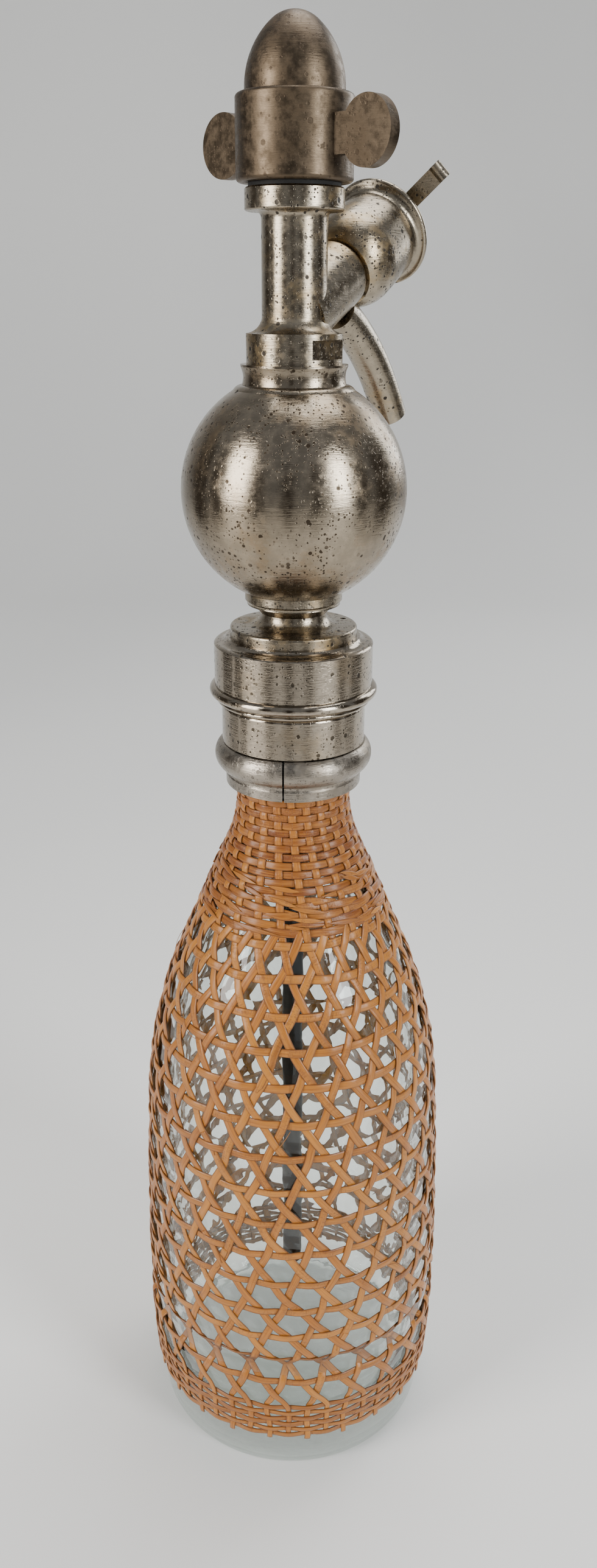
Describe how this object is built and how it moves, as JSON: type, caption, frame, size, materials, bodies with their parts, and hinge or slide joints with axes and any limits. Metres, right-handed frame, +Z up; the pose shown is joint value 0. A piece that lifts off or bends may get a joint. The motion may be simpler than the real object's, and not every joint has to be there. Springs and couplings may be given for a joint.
{
  "type": "soda siphon",
  "caption": "Soda siphon: tall glass bottle in a woven cane cover, with a metal head that carries a hollow globe, a winged gas bulb cap, a lever valve and a curved spout.",
  "frame": {"origin": "centre of the flat underside of the glass foot", "axes": "+Z up along the bottle to the tip of the domed cap, -Y towards the viewer who sees the valve behind the column on the right, +X to that viewer's right"},
  "size_m": [0.094, 0.094, 0.4],
  "materials": {
    "bottle_glass": "clear gloss, slightly green",
    "cane": "aged glossy split cane",
    "ball_nickel": "worn satin nickel plate with fine dark specks",
    "bright_nickel": "bright nickel plate with fine dark specks",
    "worn_nickel": "speckled nickel plate worn to brass in places",
    "cap_nickel": "dull warm grey nickel plate",
    "tin_alloy": "dull grey tin alloy",
    "tube_metal": "dark dull tin plate",
    "brass": "plain machined brass",
    "steel": "plain steel",
    "black_rubber": "matte black",
    "packing": "waxed fibre packing"
  },
  "bodies": {
    "bottle": {"glass_bottle": "bottle_glass", "cane_neck_weave": "cane", "cane_foot_band": "cane", "cane_lattice": "cane", "cane_hoops": "cane", "split_collar": "tin_alloy", "bottle_ferrule": "bright_nickel", "ferrule_packing": "packing"},
    "neck_washer": {"neck_washer": "black_rubber"},
    "slip_ring": {"neck_slip_ring": "brass"},
    "head": {"screw_cap": "bright_nickel", "ball_stem": "worn_nickel", "stem_nut": "brass", "globe_lower": "ball_nickel", "globe_upper": "ball_nickel", "union_ring": "worn_nickel", "column_body": "worn_nickel", "dip_tube": "tube_metal", "tube_packing": "packing", "tube_gland_ring": "brass", "bulb_seal": "black_rubber", "pin_holder": "brass", "piercing_pin": "steel", "check_seat": "brass", "check_spring": "steel", "valve_cup": "worn_nickel", "spout": "worn_nickel", "valve_spring": "steel", "stem_packing": "packing", "gland_nut": "brass", "valve_bonnet": "worn_nickel", "lever_pin": "steel"},
    "check_ball": {"check_ball": "steel"},
    "valve": {"valve_disc": "black_rubber", "valve_holder": "brass", "valve_stem": "brass", "stem_button": "worn_nickel"},
    "lever": {"lever": "worn_nickel"},
    "cap_washer": {"cap_washer": "black_rubber"},
    "gas_bulb": {"gas_bulb": "steel"},
    "bulb_cap": {"cap_shell": "cap_nickel", "cap_wings": "cap_nickel", "bulb_pad": "black_rubber"}
  },
  "joints": [
    {"name": "head_lift", "type": "slide", "parent": "bottle", "child": "neck_washer", "axis": [0, 0, 1], "range_m": [0, 0.24]},
    {"name": "head_rise", "type": "slide", "parent": "neck_washer", "child": "slip_ring", "axis": [0, 0, 1], "range_m": [0, 0.006]},
    {"name": "head_turn", "type": "hinge", "parent": "slip_ring", "child": "head", "pos_m": [0, 0, 0.2544], "axis": [0, 0, 1], "range_deg": [0, 1110]},
    {"name": "check_open", "type": "slide", "parent": "head", "child": "check_ball", "axis": [0, 0, -1], "range_m": [0, 0.0008], "stiffness_N_per_m": 20, "springref_m": -0.0005, "deforming": ["check_spring"]},
    {"name": "lever_press", "type": "hinge", "parent": "head", "child": "lever", "pos_m": [0.02024, 0.04231, 0.35398], "axis": [-0.6861, 0.0227, 0.7272], "range_deg": [0, 11]},
    {"name": "valve_lift", "type": "slide", "parent": "head", "child": "valve", "axis": [0.4895, 0.7538, 0.4384], "range_m": [0, 0.0015], "stiffness_N_per_m": 3000, "springref_m": -0.002, "deforming": ["valve_spring"]},
    {"name": "cap_lift", "type": "slide", "parent": "head", "child": "cap_washer", "axis": [0, 0, 1], "range_m": [0, 0.05]},
    {"name": "cap_rise", "type": "slide", "parent": "cap_washer", "child": "gas_bulb", "axis": [0, 0, 1], "range_m": [0, 0.006]},
    {"name": "cap_turn", "type": "hinge", "parent": "gas_bulb", "child": "bulb_cap", "pos_m": [0, 0, 0.37426], "axis": [0, 0, 1], "range_deg": [0, 1500]}
  ],
  "couplings": [
    {"joint": "head_turn", "follows": "head_rise", "rad_per_m": 3141.6},
    {"joint": "lever_press", "follows": "valve_lift", "rad_per_m": 120},
    {"joint": "cap_turn", "follows": "cap_rise", "rad_per_m": 4188.7}
  ]
}
